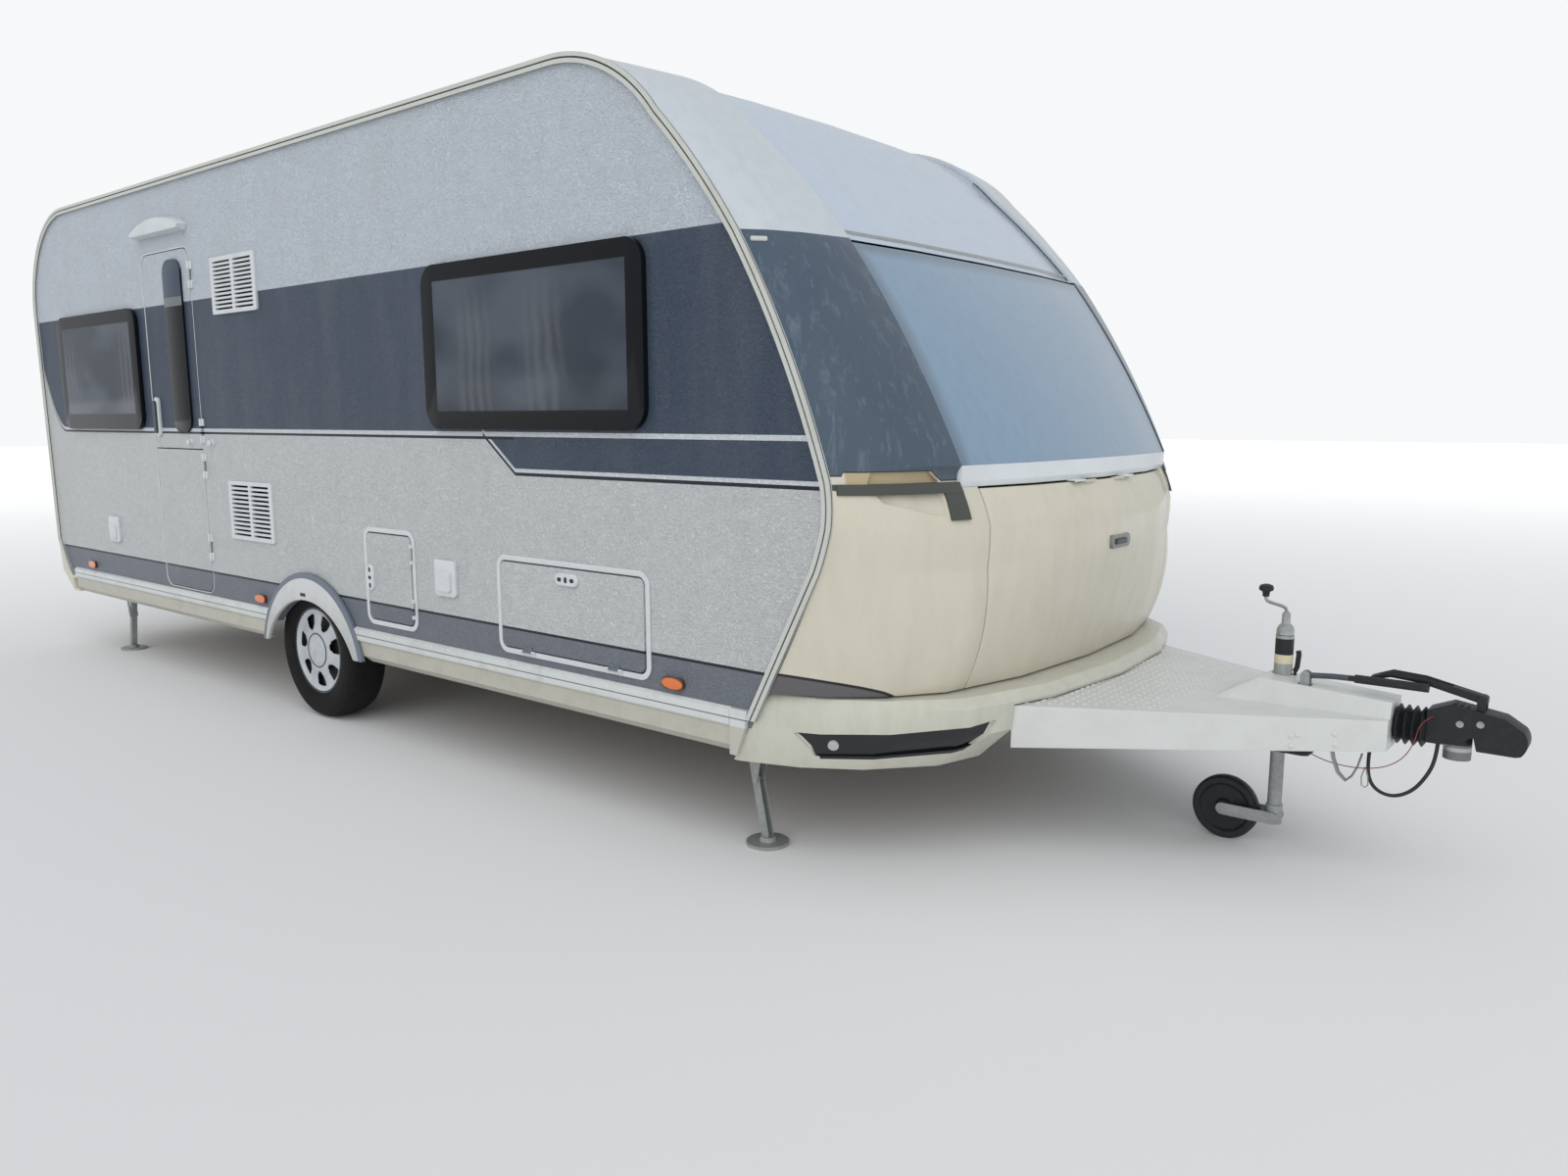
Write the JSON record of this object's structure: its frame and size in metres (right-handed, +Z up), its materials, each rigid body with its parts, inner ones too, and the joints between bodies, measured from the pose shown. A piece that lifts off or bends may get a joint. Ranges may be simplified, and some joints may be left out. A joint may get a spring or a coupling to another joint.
{
  "type": "travel caravan",
  "caption": "Single-axle travel caravan with a moulded front, gas locker, split entrance door, service hatches, A-frame drawbar, jockey wheel and scissor corner steadies.",
  "frame": {"origin": "on the ground at the middle of the overall length and width", "axes": "+X forwards to the coupling, +Y to the caravan's left, +Z up"},
  "size_m": [7.7464, 2.3705, 2.6845],
  "materials": {
    "wall_sheet": "stucco-embossed aluminium sheet, silver grey with a dark band",
    "roof_white": "smooth white glass-fibre sheet",
    "cheek_grey": "pale grey moulded plastic",
    "cream": "cream moulded plastic",
    "fitting_white": "white moulded plastic",
    "pillar_grey": "dark grey moulded plastic",
    "tint": "dark smoked acrylic",
    "front_glass": "blue-grey tinted pane",
    "board": "plywood board",
    "galvanised": "galvanised steel",
    "cover_white": "white moulded plastic",
    "black_plastic": "black plastic",
    "black_rubber": "black rubber",
    "tyre": "tyre rubber",
    "rim_silver": "silver lacquered alloy",
    "lamp": "amber lens"
  },
  "bodies": {
    "caravan": {"floor": "board", "wall_right": "wall_sheet", "wall_left": "wall_sheet", "roof": "roof_white", "rear_panel": "wall_sheet", "windows": "tint", "front_roof": "roof_white", "front_cheeks": "cheek_grey", "front_pillars": "pillar_grey", "front_window": "front_glass", "front_sill": "cream", "front_wings": "cream", "locker_box": "board", "front_bumper": "cream", "rear_bumper": "cream", "lamps": "lamp", "edge_rails": "cheek_grey", "skirts": "cream", "wheel_arches": "cream", "roof_lights": "fitting_white", "door_frame": "fitting_white", "wall_fittings": "fitting_white", "hatch_frames": "fitting_white", "awning_lamp": "fitting_white", "chassis": "galvanised", "axle": "galvanised", "drawbar_cover": "cover_white", "coupling_tube": "galvanised", "bellows": "black_rubber", "coupling_head": "black_plastic", "jockey_post": "galvanised", "steady_brackets": "galvanised", "drawbar_cables": "black_rubber"},
    "wheel_right": {"tyre_right": "tyre", "rim_right": "rim_silver"},
    "wheel_left": {"tyre_left": "tyre", "rim_left": "rim_silver"},
    "door_lower": {"door_lower": "wall_sheet"},
    "door_upper": {"door_upper": "wall_sheet", "door_pane": "tint", "door_handle": "fitting_white"},
    "hatch_large_right": {"hatch_large_right": "wall_sheet"},
    "hatch_small_right": {"hatch_small_right": "wall_sheet"},
    "hatch_large_left": {"hatch_large_left": "wall_sheet"},
    "hatch_toilet_left": {"hatch_toilet_left": "wall_sheet"},
    "gas_locker_lid": {"gas_locker_lid": "cream"},
    "handbrake_lever": {"handbrake_lever": "black_plastic"},
    "coupling_handle": {"coupling_handle": "black_plastic"},
    "jockey_tube": {"jockey_tube": "galvanised"},
    "jockey_fork": {"jockey_fork": "galvanised"},
    "jockey_wheel": {"jockey_wheel": "black_plastic"},
    "jockey_crank": {"jockey_crank": "black_plastic"},
    "steady_strut_front_right": {"steady_strut_front_right": "galvanised"},
    "steady_leg_front_right": {"steady_leg_front_right": "galvanised"},
    "steady_strut_front_left": {"steady_strut_front_left": "galvanised"},
    "steady_leg_front_left": {"steady_leg_front_left": "galvanised"},
    "steady_strut_rear_right": {"steady_strut_rear_right": "galvanised"},
    "steady_leg_rear_right": {"steady_leg_rear_right": "galvanised"},
    "steady_strut_rear_left": {"steady_strut_rear_left": "galvanised"},
    "steady_leg_rear_left": {"steady_leg_rear_left": "galvanised"}
  },
  "joints": [
    {"name": "wheel_right_spin", "type": "hinge", "parent": "caravan", "child": "wheel_right", "pos_m": [-0.83, -1.0075, 0.325], "axis": [0, 1, 0], "continuous": true},
    {"name": "wheel_left_spin", "type": "hinge", "parent": "caravan", "child": "wheel_left", "pos_m": [-0.83, 1.0075, 0.325], "axis": [0, 1, 0], "continuous": true},
    {"name": "door_lower_hinge", "type": "hinge", "parent": "caravan", "child": "door_lower", "pos_m": [-1.714, -1.159, 0.96], "axis": [0, 0, 1], "range_deg": [0, 150]},
    {"name": "door_upper_hinge", "type": "hinge", "parent": "caravan", "child": "door_upper", "pos_m": [-1.714, -1.159, 1.7], "axis": [0, 0, 1], "range_deg": [0, 150]},
    {"name": "hatch_large_right_hinge", "type": "hinge", "parent": "caravan", "child": "hatch_large_right", "pos_m": [1.088, -1.162, 0.55], "axis": [1, 0, 0], "range_deg": [0, 130]},
    {"name": "hatch_small_right_hinge", "type": "hinge", "parent": "caravan", "child": "hatch_small_right", "pos_m": [0.109, -1.162, 0.7445], "axis": [0, 0, 1], "range_deg": [0, 150]},
    {"name": "hatch_large_left_hinge", "type": "hinge", "parent": "caravan", "child": "hatch_large_left", "pos_m": [1.088, 1.162, 0.55], "axis": [-1, 0, 0], "range_deg": [0, 130]},
    {"name": "hatch_toilet_left_hinge", "type": "hinge", "parent": "caravan", "child": "hatch_toilet_left", "pos_m": [-1.789, 1.162, 0.736], "axis": [0, 0, -1], "range_deg": [0, 150]},
    {"name": "gas_locker_lid_hinge", "type": "hinge", "parent": "caravan", "child": "gas_locker_lid", "pos_m": [2.57975, 0, 1.201], "axis": [0, -1, 0], "range_deg": [0, 85]},
    {"name": "handbrake_hinge", "type": "hinge", "parent": "caravan", "child": "handbrake_lever", "pos_m": [3.282, -0.04, 0.612], "axis": [0, -1, 0], "range_deg": [0, 70]},
    {"name": "coupling_handle_hinge", "type": "hinge", "parent": "caravan", "child": "coupling_handle", "pos_m": [3.755, 0, 0.6], "axis": [0, 1, 0], "range_deg": [0, 60]},
    {"name": "jockey_slide", "type": "slide", "parent": "caravan", "child": "jockey_tube", "axis": [0, 0, 1], "range_m": [0, 0.16]},
    {"name": "jockey_swivel", "type": "hinge", "parent": "jockey_tube", "child": "jockey_fork", "pos_m": [3.191, 0.04, 0.15], "axis": [0, 0, 1], "continuous": true},
    {"name": "jockey_spin", "type": "hinge", "parent": "jockey_fork", "child": "jockey_wheel", "pos_m": [3.036, 0.04, 0.1075], "axis": [0, 1, 0], "continuous": true},
    {"name": "jockey_crank_turn", "type": "hinge", "parent": "caravan", "child": "jockey_crank", "pos_m": [3.191, 0.04, 0.72], "axis": [0, 0, 1], "continuous": true},
    {"name": "steady_front_right", "type": "hinge", "parent": "caravan", "child": "steady_strut_front_right", "pos_m": [1.87, -0.985, 0.402], "axis": [0, 1, 0], "range_deg": [0, 70]},
    {"name": "steady_leg_front_right", "type": "hinge", "parent": "steady_strut_front_right", "child": "steady_leg_front_right", "pos_m": [1.83089, -0.985, 0.218], "axis": [0, -1, 0], "range_deg": [0, 140]},
    {"name": "steady_front_left", "type": "hinge", "parent": "caravan", "child": "steady_strut_front_left", "pos_m": [1.87, 0.985, 0.402], "axis": [0, 1, 0], "range_deg": [0, 70]},
    {"name": "steady_leg_front_left", "type": "hinge", "parent": "steady_strut_front_left", "child": "steady_leg_front_left", "pos_m": [1.83089, 0.985, 0.218], "axis": [0, -1, 0], "range_deg": [0, 140]},
    {"name": "steady_rear_right", "type": "hinge", "parent": "caravan", "child": "steady_strut_rear_right", "pos_m": [-3.27, -0.985, 0.402], "axis": [0, -1, 0], "range_deg": [0, 70]},
    {"name": "steady_leg_rear_right", "type": "hinge", "parent": "steady_strut_rear_right", "child": "steady_leg_rear_right", "pos_m": [-3.23089, -0.985, 0.218], "axis": [0, 1, 0], "range_deg": [0, 140]},
    {"name": "steady_rear_left", "type": "hinge", "parent": "caravan", "child": "steady_strut_rear_left", "pos_m": [-3.27, 0.985, 0.402], "axis": [0, -1, 0], "range_deg": [0, 70]},
    {"name": "steady_leg_rear_left", "type": "hinge", "parent": "steady_strut_rear_left", "child": "steady_leg_rear_left", "pos_m": [-3.23089, 0.985, 0.218], "axis": [0, 1, 0], "range_deg": [0, 140]}
  ],
  "couplings": [
    {"joint": "steady_leg_front_right", "follows": "steady_front_right", "ratio": 2},
    {"joint": "steady_leg_front_left", "follows": "steady_front_left", "ratio": 2},
    {"joint": "steady_leg_rear_right", "follows": "steady_rear_right", "ratio": 2},
    {"joint": "steady_leg_rear_left", "follows": "steady_rear_left", "ratio": 2}
  ]
}
